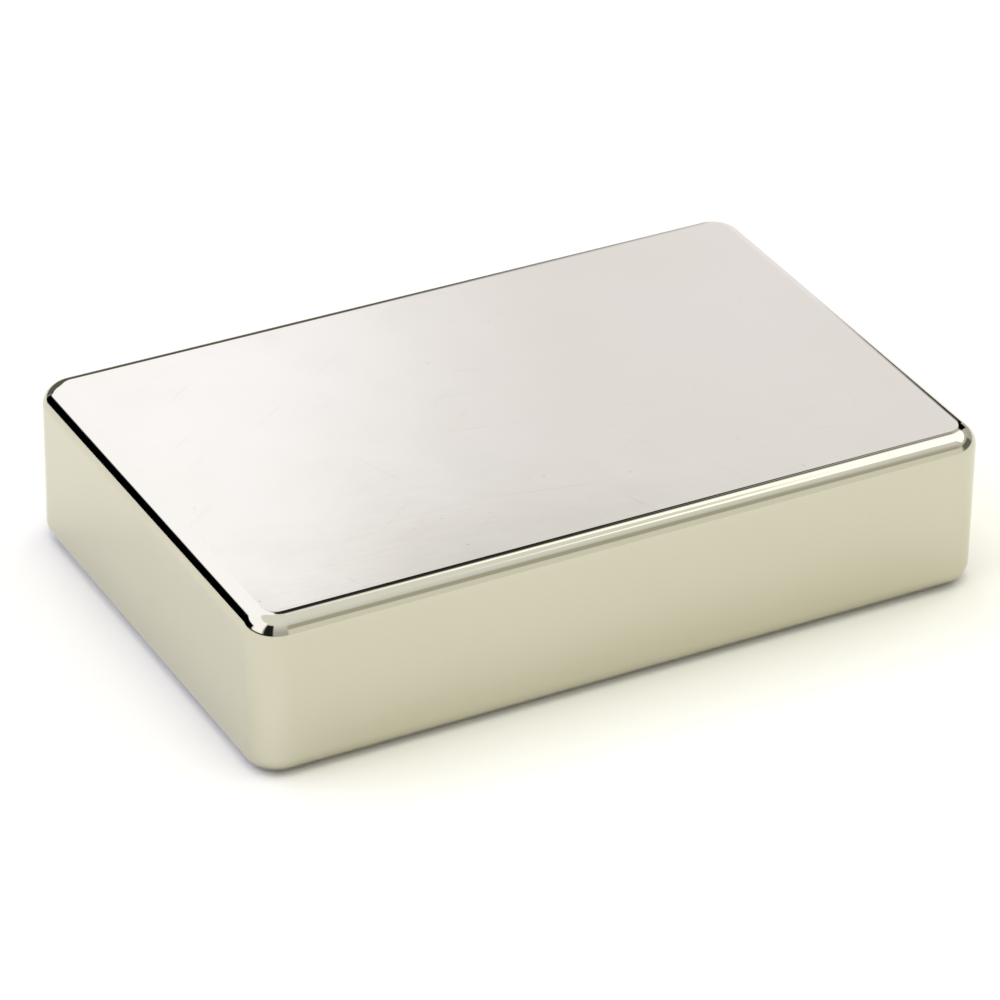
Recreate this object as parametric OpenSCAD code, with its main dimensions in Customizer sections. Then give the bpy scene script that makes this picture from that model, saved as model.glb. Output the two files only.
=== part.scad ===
// Nickel-plated sintered block magnet.
// The magnet is one pressed and sintered block, tumbled so that every edge is rounded, then
// electroplated all over with three metal layers: nickel, copper, nickel.
// Frame: +X along the length, +Y along the width, +Z through the thickness between the two
// pole faces. The origin is the centre of the lower pole face. Millimetres.

/* [Block, over the plating] */
// Length along X
block_l = 46; // [20:1:60]
// Width along Y
block_w = 30; // [15:1:40]
// Thickness along Z, from pole face to pole face
block_h = 10; // [5:0.5:20]

/* [Tumbled edges, over the plating] */
// Radius of the four upright corners
corner_r = 2; // [1.3:0.1:5]
// Radius of the edges around both pole faces
edge_r = 1.2; // [0.3:0.1:1.2]

/* [Plating] */
// Thickness of the nickel that grips the magnet
inner_nickel_t = 0.005; // [0.004:0.001:0.02]
// Thickness of the copper in the middle
copper_t = 0.008; // [0.004:0.001:0.02]
// Thickness of the bright nickel outside
outer_nickel_t = 0.008; // [0.004:0.001:0.02]

/* [Hidden] */
$fn = 96;

// How far a corner cutter reaches past the section that it rounds
cut_past = 1;

// Depth of each layer's outer skin below the finished surface
copper_depth = outer_nickel_t;
inner_nickel_depth = copper_depth + copper_t;
core_depth = inner_nickel_depth + inner_nickel_t;

// Section through one side: a bar from x = 0 out to the surface, with both outer corners rounded
module edge_section(reach, height, r) {
    difference() {
        translate([0, -height / 2]) square([reach, height]);
        for (side = [0, 1]) mirror([0, side])
            translate([reach - r, height / 2 - r]) difference() {
                square(r + cut_past);
                circle(r);
            }
    }
}

// Straight edge strip of one side, standing on its section and running along the side
module side_strip(run, reach, height, r) {
    rotate([90, 0, 0])
        linear_extrude(run, center = true)
            edge_section(reach, height, r);
}

// Quarter-round upright corner
module upright_corner(reach, height, r) {
    rotate_extrude(angle = 90) edge_section(reach, height, r);
}

// The whole rounded block, with its surface a given depth below the finished one.
// A middle slab, four edge strips and four corners meet face to face.
module rounded_block(depth) {
    reach = corner_r - depth;
    r = edge_r - depth;
    height = block_h - 2 * depth;
    mid_l = block_l - 2 * corner_r;
    mid_w = block_w - 2 * corner_r;

    translate([0, 0, block_h / 2]) {
        cube([mid_l, mid_w, height], center = true);
        for (end = [0, 180]) rotate([0, 0, end]) {
            translate([mid_l / 2, 0, 0]) side_strip(mid_w, reach, height, r);
            translate([mid_l / 2, mid_w / 2, 0]) upright_corner(reach, height, r);
            rotate([0, 0, 90]) {
                translate([mid_w / 2, 0, 0]) side_strip(mid_l, reach, height, r);
                translate([mid_w / 2, mid_l / 2, 0]) upright_corner(reach, height, r);
            }
        }
    }
}

// One plated layer: the skin between two depths
module plated_layer(outer_depth, inner_depth) {
    difference() {
        rounded_block(outer_depth);
        rounded_block(inner_depth);
    }
}

module sintered_core() {
    color("dimgray") rounded_block(core_depth);
}

module inner_nickel_layer() {
    color("darkgray") plated_layer(inner_nickel_depth, core_depth);
}

module copper_layer() {
    color("peru") plated_layer(copper_depth, inner_nickel_depth);
}

module outer_nickel_layer() {
    color("gainsboro") plated_layer(0, copper_depth);
}

sintered_core();
inner_nickel_layer();
copper_layer();
outer_nickel_layer();
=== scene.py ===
"""Nickel-plated block magnet: the looks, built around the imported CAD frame. Metres, +Z up."""

import math

import bpy
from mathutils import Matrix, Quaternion, Vector


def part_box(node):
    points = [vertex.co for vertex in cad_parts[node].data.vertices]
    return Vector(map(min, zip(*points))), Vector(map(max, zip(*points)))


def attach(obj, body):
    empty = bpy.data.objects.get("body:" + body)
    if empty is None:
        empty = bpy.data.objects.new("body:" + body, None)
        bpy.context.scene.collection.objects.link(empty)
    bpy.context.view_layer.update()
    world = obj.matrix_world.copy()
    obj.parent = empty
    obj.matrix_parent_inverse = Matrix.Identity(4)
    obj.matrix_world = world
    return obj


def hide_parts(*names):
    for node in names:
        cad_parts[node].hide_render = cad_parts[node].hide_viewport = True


MM = 0.001
MICRON = 1e-6

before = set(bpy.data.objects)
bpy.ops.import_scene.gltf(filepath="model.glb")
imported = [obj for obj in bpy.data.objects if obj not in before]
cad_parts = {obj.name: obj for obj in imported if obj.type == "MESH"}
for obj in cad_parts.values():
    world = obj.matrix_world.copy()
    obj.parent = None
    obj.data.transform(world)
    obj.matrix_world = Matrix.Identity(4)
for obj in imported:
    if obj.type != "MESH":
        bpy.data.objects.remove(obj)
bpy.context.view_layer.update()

# ---------------------------------------------------------------- sizes read from the frame

BLOCK_LOW, BLOCK_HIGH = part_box("outer_nickel_layer")
PLATE_THICKNESS = BLOCK_HIGH.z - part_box("copper_layer")[1].z
CENTRE = (BLOCK_LOW + BLOCK_HIGH) / 2


def flat_reach(axis, across):
    """How far along one axis the flat face at the top of another axis reaches, on the CAD skin."""
    top = BLOCK_HIGH[across] - MICRON
    points = [v.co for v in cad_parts["outer_nickel_layer"].data.vertices]
    return max(p[axis] for p in points if p[across] > top)


EDGE_RADIUS = BLOCK_HIGH.x - flat_reach(axis=0, across=2)
CORNER_RADIUS = BLOCK_HIGH.y - flat_reach(axis=1, across=0)

# ---------------------------------------------------------------- camera

CAMERA_AZIMUTH = math.radians(-28.4)
CAMERA_ELEVATION = math.radians(31.3)
CAMERA_ROLL = math.radians(0.91)
CAMERA_DISTANCE = 305.4 * MM
CAMERA_LENS = 191.4  # focal length in millimetres
CAMERA_SENSOR = 36  # width in millimetres
# where the camera aims, off the block's centre
AIM_RIGHT = -0.37 * MM
AIM_UP = -1.12 * MM


def make_camera():
    """The catalogue view: from above the front left corner, through a long lens."""
    data = bpy.data.cameras.new("catalogue_camera")
    data.lens = CAMERA_LENS
    data.sensor_width = CAMERA_SENSOR
    data.clip_start = 10 * MM
    data.clip_end = 100
    camera = bpy.data.objects.new("catalogue_camera", data)
    bpy.context.scene.collection.objects.link(camera)
    bpy.context.scene.camera = camera
    level = math.cos(CAMERA_ELEVATION)
    back = Vector(
        (
            math.sin(CAMERA_AZIMUTH) * level,
            -math.cos(CAMERA_AZIMUTH) * level,
            math.sin(CAMERA_ELEVATION),
        )
    )
    turn = back.to_track_quat("Z", "Y")
    turn.rotate(Quaternion(back, CAMERA_ROLL))
    camera.rotation_mode = "QUATERNION"
    camera.rotation_quaternion = turn
    right = turn @ Vector((1, 0, 0))
    up = turn @ Vector((0, 1, 0))
    aim = CENTRE + right * AIM_RIGHT + up * AIM_UP
    camera.location = aim + back * CAMERA_DISTANCE


# ---------------------------------------------------------------- node helpers


def link(tree, source, target):
    """Joins an output to an input."""
    tree.links.new(source, target)


def feed(tree, socket, value):
    """Gives a socket a number, a colour or another node's output."""
    if isinstance(value, bpy.types.NodeSocket):
        link(tree, value, socket)
    else:
        socket.default_value = value


def maths(tree, operation, a, b=0.0):
    """One arithmetic step on numbers or node outputs."""
    node = tree.nodes.new("ShaderNodeMath")
    node.operation = operation
    feed(tree, node.inputs[0], a)
    feed(tree, node.inputs[1], b)
    return node.outputs[0]


def times(tree, a, b):
    """a times b."""
    return maths(tree, "MULTIPLY", a, b)


def plus(tree, *values):
    """The sum of two or more values."""
    total = values[0]
    for value in values[1:]:
        total = maths(tree, "ADD", total, value)
    return total


def ramp(tree, value, low, high, out_low=0.0, out_high=1.0):
    """Maps value from low..high to out_low..out_high, with soft ends and clamped."""
    node = tree.nodes.new("ShaderNodeMapRange")
    node.interpolation_type = "SMOOTHSTEP"
    feed(tree, node.inputs["Value"], value)
    feed(tree, node.inputs["From Min"], low)
    feed(tree, node.inputs["From Max"], high)
    feed(tree, node.inputs["To Min"], out_low)
    feed(tree, node.inputs["To Max"], out_high)
    return node.outputs["Result"]


def mix_colour(tree, share, a, b):
    """Colour a at share 0, colour b at share 1."""
    node = tree.nodes.new("ShaderNodeMix")
    node.data_type = "RGBA"
    feed(tree, node.inputs["Factor"], share)
    feed(tree, node.inputs["A"], a)
    feed(tree, node.inputs["B"], b)
    return node.outputs["Result"]


def dot(tree, vector, fixed):
    """Dot product of a node's vector with a fixed one."""
    node = tree.nodes.new("ShaderNodeVectorMath")
    node.operation = "DOT_PRODUCT"
    feed(tree, node.inputs[0], vector)
    node.inputs[1].default_value = fixed
    return node.outputs["Value"]


# ---------------------------------------------------------------- studio


def direction(azimuth, elevation=0):
    """Unit vector, azimuth in degrees from +Y towards +X."""
    a, e = math.radians(azimuth), math.radians(elevation)
    return Vector((math.sin(a) * math.cos(e), math.cos(a) * math.cos(e), math.sin(e)))


def panel_share(tree, ray, height, azimuth, half_width, low, high, soft_side, soft_up):
    """Share of a soft-edged panel seen along ray. All angles in degrees."""
    across = dot(tree, ray, direction(azimuth + 90))
    ahead = dot(tree, ray, direction(azimuth))
    turn = maths(tree, "ABSOLUTE", maths(tree, "DEGREES", maths(tree, "ARCTAN2", across, ahead)))
    side = ramp(tree, turn, half_width - soft_side, half_width + soft_side, 1.0, 0.0)
    above = ramp(tree, height, low - soft_up, low + soft_up)
    below = ramp(tree, height, high - soft_up, high + soft_up, 1.0, 0.0)
    return times(tree, side, times(tree, above, below))


# the tent's walls and its roof, and the elevations in degrees between which one turns into the other
TENT_LOW = (0.62, 0.62, 0.62, 1)
TENT_HIGH = (1.15, 1.15, 1.2, 1)
TENT_RISE = (10, 70)
# All in degrees as the block sees them: azimuth of the middle, half width, elevation of the low and
# the high edge, softness of the side edges, softness of the low and high edges. Then the colour.
# A later panel stands in front of an earlier one.
PANELS = [
    # low white card in front
    (152, 14, -5, 24, 4, 2, (1.03, 1.02, 0.95, 1)),
    # rear softbox, brighter towards the left, and the one beside it
    (12, 34, 0, 60, 4, 1.5, (1.30, 1.27, 1.48, 1)),
    (-4, 30.9, 0, 60, 2.6, 1.5, (1.68, 1.68, 2.02, 1)),
    (-71, 42, 0, 62, 3, 3, (1.68, 1.68, 1.95, 1)),
    # open gap under the rear softbox
    (3, 24, -5, 28, 3, 1.0, (0.16, 0.16, 0.15, 1)),
    # black walls at the left, high then low, and a dark wall beside the camera
    (-49, 28, -5, 25, 4, 1.5, (0.0, 0.0, 0.0, 1)),
    (-92, 28, -5, 7, 4, 4, (0.02, 0.02, 0.02, 1)),
    (-132, 15, -5, 56, 3, 3, (0.02, 0.02, 0.02, 1)),
    # black and grey cards at the right
    (44.4, 1.8, -5, 16, 0.5, 2.0, (0.0, 0.0, 0.0, 1)),
    (49.3, 8.5, 14, 35, 0.7, 2.5, (0.0, 0.0, 0.0, 1)),
    (111, 21, 2, 26, 4, 3, (0.2, 0.2, 0.17, 1)),
    # top of the rear softbox, dimmer, then the dark gap between it and the roof
    (33, 6, 31.5, 60, 1.5, 0.7, (1.14, 1.14, 1.28, 1)),
    (40, 6, 33, 46, 2.5, 1.5, (0.75, 0.74, 0.76, 1)),
    (38, 7, 44, 55.5, 2, 2.5, (0.06, 0.06, 0.06, 1)),
    (30.5, 6, 33.3, 55, 1.5, 0.7, (0.03, 0.03, 0.03, 1)),
    # grey strip in front
    (152, 9.5, 25, 43, 5, 3, (0.60, 0.58, 0.50, 1)),
    # roof softbox at the right
    (86, 34, 36, 62.5, 4, 1.5, (2.4, 2.35, 2.2, 1)),
]


def make_world():
    """A white tent: soft light from all round, with brighter and darker panels standing in it."""
    world = bpy.data.worlds.new("studio")
    bpy.context.scene.world = world
    world.use_nodes = True
    tree = world.node_tree
    tree.nodes.clear()
    ray = tree.nodes.new("ShaderNodeTexCoord").outputs["Generated"]
    height = maths(tree, "DEGREES", maths(tree, "ARCSINE", dot(tree, ray, (0, 0, 1))))
    colour = mix_colour(tree, ramp(tree, height, *TENT_RISE), TENT_LOW, TENT_HIGH)
    for *place, tint in PANELS:
        colour = mix_colour(tree, panel_share(tree, ray, height, *place), colour, tint)
    background = tree.nodes.new("ShaderNodeBackground")
    feed(tree, background.inputs["Color"], colour)
    out = tree.nodes.new("ShaderNodeOutputWorld")
    link(tree, background.outputs[0], out.inputs["Surface"])


TABLE_SIZE = 6.0
TABLE_GAP = 5 * MICRON
TABLE_COLOUR = (0.90, 0.89, 0.83, 1)


def make_floor():
    """A pale matt table, just under the block."""
    half = TABLE_SIZE / 2
    mesh = bpy.data.meshes.new("table")
    mesh.from_pydata(
        [(-half, -half, 0), (half, -half, 0), (half, half, 0), (-half, half, 0)],
        [],
        [(0, 1, 2, 3)],
    )
    table = bpy.data.objects.new("table", mesh)
    bpy.context.scene.collection.objects.link(table)
    table.location.z = BLOCK_LOW.z - TABLE_GAP
    material = bpy.data.materials.new("table_paper")
    material.use_nodes = True
    shader = material.node_tree.nodes["Principled BSDF"]
    shader.inputs["Base Color"].default_value = TABLE_COLOUR
    shader.inputs["Roughness"].default_value = 0.9
    shader.inputs["Specular IOR Level"].default_value = 0.1
    mesh.materials.append(material)


LAMP_DISTANCE = 0.5
LAMP_SIZE = 0.3
# name, azimuth and elevation in degrees, power in watts, colour
LAMPS = [
    ("overhead_lamp", 200, 82, 0.52, (1.0, 1.0, 0.62)),
    ("rear_lamp", -65, 48, 0.32, (0.45, 0.5, 1.0)),
]


def make_lamps():
    """Soft lamps that whiten the table. The tent's own panels make the reflections."""
    for name, azimuth, elevation, power, colour in LAMPS:
        data = bpy.data.lights.new(name, "AREA")
        data.shape = "DISK"
        data.size = LAMP_SIZE
        data.energy = power
        data.color = colour
        lamp = bpy.data.objects.new(name, data)
        bpy.context.scene.collection.objects.link(lamp)
        lamp.visible_glossy = False
        place = direction(azimuth, elevation)
        lamp.location = CENTRE + place * LAMP_DISTANCE
        lamp.rotation_mode = "QUATERNION"
        lamp.rotation_quaternion = place.to_track_quat("Z", "Y")


# ---------------------------------------------------------------- the bright skin

ARC_STEPS = 16  # faces round each quarter circle
STRAIGHT_STEP = 2 * MM  # length of a face along a straight edge
SIDE_STEPS = 4  # faces up the flat part of a side
CAP_RINGS = 8  # rings across a pole face, from its edge to the middle
WELD = 0.1 * MICRON  # points closer than this are one point


def outline():
    """Points round the finished block's plan with their outward normals, anticlockwise."""
    half_l = BLOCK_HIGH.x - CENTRE.x
    half_w = BLOCK_HIGH.y - CENTRE.y
    points = []
    for i, (sx, sy) in enumerate(((1, 1), (-1, 1), (-1, -1), (1, -1))):
        cx, cy = sx * (half_l - CORNER_RADIUS), sy * (half_w - CORNER_RADIUS)
        for k in range(ARC_STEPS + 1):
            angle = math.pi / 2 * (i + k / ARC_STEPS)
            n = Vector((math.cos(angle), math.sin(angle), 0))
            points.append((Vector((cx, cy, 0)) + n * CORNER_RADIUS, n))
        run = 2 * (half_l if i % 2 == 0 else half_w) - 2 * CORNER_RADIUS
        steps = round(run / STRAIGHT_STEP)
        along = Vector((-n.y, n.x, 0))
        start = points[-1][0]
        for k in range(1, steps):
            points.append((start + along * run * k / steps, n))
    return points


def section():
    """(inset from the plan, height, normal's outward share, normal's upward share), bottom to top."""
    tall = BLOCK_HIGH.z - BLOCK_LOW.z
    rows = []
    for k in range(ARC_STEPS + 1):
        angle = math.pi / 2 * k / ARC_STEPS
        out, down = math.sin(angle), math.cos(angle)
        rows.append((EDGE_RADIUS * (1 - out), EDGE_RADIUS * (1 - down), out, -down))
    for k in range(1, SIDE_STEPS):
        rows.append((0, EDGE_RADIUS + (tall - 2 * EDGE_RADIUS) * k / SIDE_STEPS, 1, 0))
    return rows + [(inset, tall - z, out, -up) for inset, z, out, up in reversed(rows[: ARC_STEPS + 1])]


def skin_surface(depth):
    """The rounded block's closed surface, depth below the finished one: points, normals, faces."""
    # half the length of the middle line on which the rings of a pole face close
    spine = (BLOCK_HIGH.x - CENTRE.x) - (BLOCK_HIGH.y - CENTRE.y)
    plan, rows = outline(), section()
    points, normals, faces, known = [], [], [], {}

    def vertex(p, n):
        """The number of the point at p, which is in the block's own frame, with normal n."""
        p = Vector((CENTRE.x + p.x, CENTRE.y + p.y, BLOCK_LOW.z + p.z)) - n * depth
        key = tuple(round(c / WELD) for c in p)
        if key not in known:
            known[key] = len(points)
            points.append(p)
            normals.append(n)
        return known[key]

    rings = []
    for inset, z, out, up in rows:
        rings.append(
            [
                vertex(
                    Vector((p.x - n.x * inset, p.y - n.y * inset, z)),
                    Vector((n.x * out, n.y * out, up)),
                )
                for p, n in plan
            ]
        )

    def cap(row, up):
        """Rings across a pole face, from its edge to the middle line."""
        inset, z = row[0], row[1]
        made = []
        for k in range(1, CAP_RINGS + 1):
            share = k / CAP_RINGS
            ring = []
            for p, n in plan:
                edge = Vector((p.x - n.x * inset, p.y - n.y * inset, z))
                mid = Vector((max(-spine, min(spine, edge.x)), 0, z))
                ring.append(vertex(edge.lerp(mid, share), Vector((0, 0, up))))
            made.append(ring)
        return made

    rings = cap(rows[0], -1)[::-1] + rings + cap(rows[-1], 1)
    count = len(plan)
    for low, high in zip(rings, rings[1:]):
        for i in range(count):
            j = (i + 1) % count
            face = [low[i], low[j], high[j], high[i]]
            face = [v for k, v in enumerate(face) if v != face[k - 1]]
            if len(face) > 2:
                faces.append(face)
    return points, normals, faces


def make_skin():
    """The bright nickel layer as a closed shell: its outer surface and the one against the copper."""
    points, normals, faces = skin_surface(0)
    inner_points, inner_normals, inner_faces = skin_surface(PLATE_THICKNESS)
    base = len(points)
    points += inner_points
    normals += [-n for n in inner_normals]
    faces += [[base + v for v in reversed(face)] for face in inner_faces]
    mesh = bpy.data.meshes.new("bright_nickel_skin")
    mesh.from_pydata(points, [], faces)
    mesh.update()
    mesh.shade_smooth()
    mesh.normals_split_custom_set_from_vertices(normals)
    skin = bpy.data.objects.new("bright_nickel_skin", mesh)
    bpy.context.scene.collection.objects.link(skin)
    mesh.materials.append(bright_nickel())
    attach(skin, "root")
    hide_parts("outer_nickel_layer")


# ---------------------------------------------------------------- materials


def new_metal(name):
    """An empty metal: its node tree and its shader, with the object's own coordinates in metres."""
    material = bpy.data.materials.new(name)
    material.use_nodes = True
    tree = material.node_tree
    shader = tree.nodes["Principled BSDF"]
    shader.inputs["Metallic"].default_value = 1.0
    place = tree.nodes.new("ShaderNodeTexCoord")
    return material, tree, shader, place


def stretch(tree, place, spin, sizes):
    """Object coordinates turned about Z, then measured in the given grain sizes along X, Y and Z."""
    turned = tree.nodes.new("ShaderNodeMapping")
    turned.inputs["Rotation"].default_value = (0, 0, math.radians(spin))
    link(tree, place.outputs["Object"], turned.inputs["Vector"])
    node = tree.nodes.new("ShaderNodeVectorMath")
    node.operation = "MULTIPLY"
    link(tree, turned.outputs["Vector"], node.inputs[0])
    node.inputs[1].default_value = [1 / size for size in sizes]
    return node.outputs["Vector"]


def grains(tree, place, size, spin=0):
    """Object coordinates turned about Z, measured in one grain size along X, Y and Z."""
    return stretch(tree, place, spin, (size, size, size))


def grinding(tree, place, length, width):
    """Object coordinates measured in grinding lines, which lie along the block."""
    return stretch(tree, place, 0, (length, width, width))


def noise(tree, vector, detail=2.0, rough=0.5):
    """Cloudy noise about 0.5, one grain to each unit of vector."""
    node = tree.nodes.new("ShaderNodeTexNoise")
    link(tree, vector, node.inputs["Vector"])
    node.inputs["Scale"].default_value = 1.0
    node.inputs["Detail"].default_value = detail
    node.inputs["Roughness"].default_value = rough
    return node.outputs["Fac"]


def cells(tree, vector):
    """Cell texture: distance to the cell's point, a random number for the cell, the point itself."""
    node = tree.nodes.new("ShaderNodeTexVoronoi")
    node.inputs["Scale"].default_value = 1.0
    link(tree, vector, node.inputs["Vector"])
    number = tree.nodes.new("ShaderNodeSeparateColor")
    link(tree, node.outputs["Color"], number.inputs["Color"])
    return node.outputs["Distance"], number.outputs["Red"], node.outputs["Position"]


def relief(tree, shader, height):
    """Bump from a height in micrometres."""
    node = tree.nodes.new("ShaderNodeBump")
    node.inputs["Distance"].default_value = MICRON
    node.inputs["Strength"].default_value = 1.0
    link(tree, height, node.inputs["Height"])
    link(tree, node.outputs["Normal"], shader.inputs["Normal"])


def rounded_share(tree, place):
    """1 on the rounded edges and corners, 0 on the flat faces."""
    parts = tree.nodes.new("ShaderNodeSeparateXYZ")
    link(tree, place.outputs["Normal"], parts.inputs["Vector"])
    x, y, z = (maths(tree, "ABSOLUTE", part) for part in parts.outputs)
    steepest = maths(tree, "MAXIMUM", maths(tree, "MAXIMUM", x, y), z)
    return ramp(tree, steepest, 0.9, 0.999, 1.0, 0.0)


# cool and warm nickel tones that vary at random; the rounded edges are also mixed towards the cool one,
# a painted sheen
NICKEL_COOL = (0.565, 0.545, 0.438, 1)
NICKEL_WARM = (0.555, 0.535, 0.422, 1)
# painted shade for the pores: darker nickel standing in for the shade inside the pits
NICKEL_PAINTED_PORE_SHADE = (0.38, 0.35, 0.27, 1)
# spin about Z in degrees, length and spacing of the scratches that lie along each direction
SCRATCHES = [(12, 9 * MM, 3 * MM), (-37, 6 * MM, 2.5 * MM), (71, 7 * MM, 4 * MM)]
SCRATCH_HALF_WIDTH = 0.03 * MM


def hairlines(tree, place):
    """Fine handling scratches: in some cells of a stretched cell texture, one straight line each."""
    total = 0.0
    for spin, length, spacing in SCRATCHES:
        vector = stretch(tree, place, spin, (length, spacing, spacing))
        _, lot, middle = cells(tree, vector)
        offset = tree.nodes.new("ShaderNodeVectorMath")
        offset.operation = "SUBTRACT"
        link(tree, vector, offset.inputs[0])
        link(tree, middle, offset.inputs[1])
        away = tree.nodes.new("ShaderNodeSeparateXYZ")
        link(tree, offset.outputs["Vector"], away.inputs["Vector"])
        along, across = (maths(tree, "ABSOLUTE", part) for part in away.outputs[:2])
        half_width = SCRATCH_HALF_WIDTH / spacing
        line = ramp(tree, across, 0.3 * half_width, half_width, 1.0, 0.0)
        line = times(tree, line, ramp(tree, along, 0.15, 0.45, 1.0, 0.0))
        line = times(tree, line, ramp(tree, lot, 0.55, 0.9))
        total = maths(tree, "MAXIMUM", total, line)
    return total


# relief of the bright nickel, in micrometres
PEEL_HEIGHT = 1.6
SWELL_HEIGHT = 5.0
GROUND_HEIGHT = 0.5
SCRATCH_DEPTH = 0.25
PORE_DEPTH = 0.3


def bright_nickel():
    """Mirror nickel: faint orange peel, the grinding lines under it, hairlines, haze and pores, with a
    painted sheen lightening the rounded edges and painted shade darkening the pores.
    """
    material, tree, shader, place = new_metal("bright_nickel")
    edge = rounded_share(tree, place)
    flat = maths(tree, "SUBTRACT", 1.0, edge)
    peel = noise(tree, grains(tree, place, 1.4 * MM), detail=1.0)
    swell = noise(tree, grains(tree, place, 6 * MM), detail=1.0)
    ground = noise(tree, grinding(tree, place, length=16 * MM, width=0.28 * MM), detail=2.0)
    haze = noise(tree, grains(tree, place, 5 * MM, spin=33), detail=4.0, rough=0.6)
    tone = noise(tree, grains(tree, place, 13 * MM, spin=12), detail=2.0)
    gap, lot, _ = cells(tree, grains(tree, place, 0.9 * MM))
    pore = times(tree, ramp(tree, gap, 0.05, 0.11, 1.0, 0.0), ramp(tree, lot, 0.90, 0.92))
    lines = hairlines(tree, place)

    colour = mix_colour(tree, ramp(tree, tone, 0.3, 0.7), NICKEL_COOL, NICKEL_WARM)
    # painted sheen: the rounded edges are mixed half-way towards the lighter, cooler nickel colour
    colour = mix_colour(tree, times(tree, edge, 0.5), colour, NICKEL_COOL)
    # painted shade: the pores are darkened in colour
    colour = mix_colour(tree, times(tree, pore, 0.2), colour, NICKEL_PAINTED_PORE_SHADE)
    feed(tree, shader.inputs["Base Color"], colour)

    rough = ramp(tree, haze, 0.3, 0.7, 0.04, 0.075)
    rough = plus(tree, rough, times(tree, lines, 0.05), times(tree, pore, 0.06))
    rough = maths(tree, "SUBTRACT", rough, times(tree, edge, 0.012))
    feed(tree, shader.inputs["Roughness"], rough)

    height = plus(
        tree,
        times(tree, peel, PEEL_HEIGHT),
        times(tree, swell, SWELL_HEIGHT),
        times(tree, times(tree, ground, flat), GROUND_HEIGHT),
        times(tree, lines, -SCRATCH_DEPTH),
        times(tree, pore, -PORE_DEPTH),
    )
    relief(tree, shader, height)
    return material


MATT_DARK = (0.46, 0.44, 0.37, 1)
MATT_LIGHT = (0.54, 0.51, 0.43, 1)
MATT_CRYSTAL = (0.40, 0.37, 0.30, 1)


def matt_nickel():
    """The first nickel: a dull grey coat of fine rounded crystals that follows the ground core."""
    material, tree, shader, place = new_metal("matt_nickel")
    gap, lot, _ = cells(tree, grains(tree, place, 0.12 * MM))
    ground = noise(tree, grinding(tree, place, length=12 * MM, width=0.25 * MM), detail=3.0)
    cloud = noise(tree, grains(tree, place, 4 * MM, spin=20), detail=4.0)
    colour = mix_colour(tree, cloud, MATT_DARK, MATT_LIGHT)
    colour = mix_colour(tree, times(tree, lot, 0.25), colour, MATT_CRYSTAL)
    feed(tree, shader.inputs["Base Color"], colour)
    feed(tree, shader.inputs["Roughness"], ramp(tree, cloud, 0.3, 0.7, 0.34, 0.46))
    relief(tree, shader, plus(tree, times(tree, gap, -4.0), times(tree, ground, 3.0)))
    return material


COPPER_PALE = (0.86, 0.46, 0.31, 1)
COPPER_DEEP = (0.80, 0.40, 0.25, 1)
COPPER_BLOOM = (0.62, 0.26, 0.15, 1)


def satin_copper():
    """The copper between the nickels: salmon pink, satin, with a little darker bloom in patches."""
    material, tree, shader, place = new_metal("satin_copper")
    grain = noise(tree, grains(tree, place, 0.2 * MM), detail=4.0)
    ground = noise(tree, grinding(tree, place, length=14 * MM, width=0.3 * MM), detail=3.0)
    bloom = noise(tree, grains(tree, place, 7 * MM, spin=-15), detail=5.0, rough=0.6)
    colour = mix_colour(tree, grain, COPPER_PALE, COPPER_DEEP)
    colour = mix_colour(tree, ramp(tree, bloom, 0.5, 0.75), colour, COPPER_BLOOM)
    feed(tree, shader.inputs["Base Color"], colour)
    feed(tree, shader.inputs["Roughness"], ramp(tree, bloom, 0.3, 0.7, 0.24, 0.36))
    relief(tree, shader, plus(tree, times(tree, grain, 1.5), times(tree, ground, 2.0)))
    return material


CORE_DARK = (0.13, 0.128, 0.125, 1)
CORE_LIGHT = (0.24, 0.235, 0.225, 1)
CORE_GROUND = (0.30, 0.29, 0.28, 1)
# painted shade for the open pores, nearly black
CORE_PAINTED_PORE_SHADE = (0.035, 0.034, 0.033, 1)


def sintered_magnet():
    """The pressed and sintered core: dark grey metal grains with open pores painted nearly black as
    shade, and grinding lines.
    """
    material, tree, shader, place = new_metal("sintered_magnet")
    gap, lot, _ = cells(tree, grains(tree, place, 0.22 * MM))
    fine = noise(tree, grains(tree, place, 0.09 * MM), detail=3.0)
    ground = noise(tree, grinding(tree, place, length=10 * MM, width=0.18 * MM), detail=3.0)
    pore = ramp(tree, fine, 0.28, 0.36, 1.0, 0.0)
    colour = mix_colour(tree, lot, CORE_DARK, CORE_LIGHT)
    colour = mix_colour(tree, times(tree, ground, 0.5), colour, CORE_GROUND)
    # painted shade: the open pores are nearly black
    colour = mix_colour(tree, pore, colour, CORE_PAINTED_PORE_SHADE)
    feed(tree, shader.inputs["Base Color"], colour)
    rough = plus(tree, ramp(tree, lot, 0.0, 1.0, 0.38, 0.52), times(tree, pore, 0.35))
    feed(tree, shader.inputs["Roughness"], rough)
    relief(
        tree,
        shader,
        plus(tree, times(tree, gap, -5.0), times(tree, ground, 6.0), times(tree, pore, -12.0)),
    )
    return material


def dress(node_name, material):
    """Gives a CAD node its material in every slot."""
    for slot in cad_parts[node_name].material_slots:
        slot.material = material


def dress_inner_pieces():
    """The three CAD pieces under the bright nickel."""
    dress("sintered_core", sintered_magnet())
    dress("inner_nickel_layer", matt_nickel())
    dress("copper_layer", satin_copper())


# ---------------------------------------------------------------- the picture

scene = bpy.context.scene
scene.view_settings.view_transform = "Standard"
make_camera()
make_world()
make_floor()
make_lamps()
make_skin()
dress_inner_pieces()
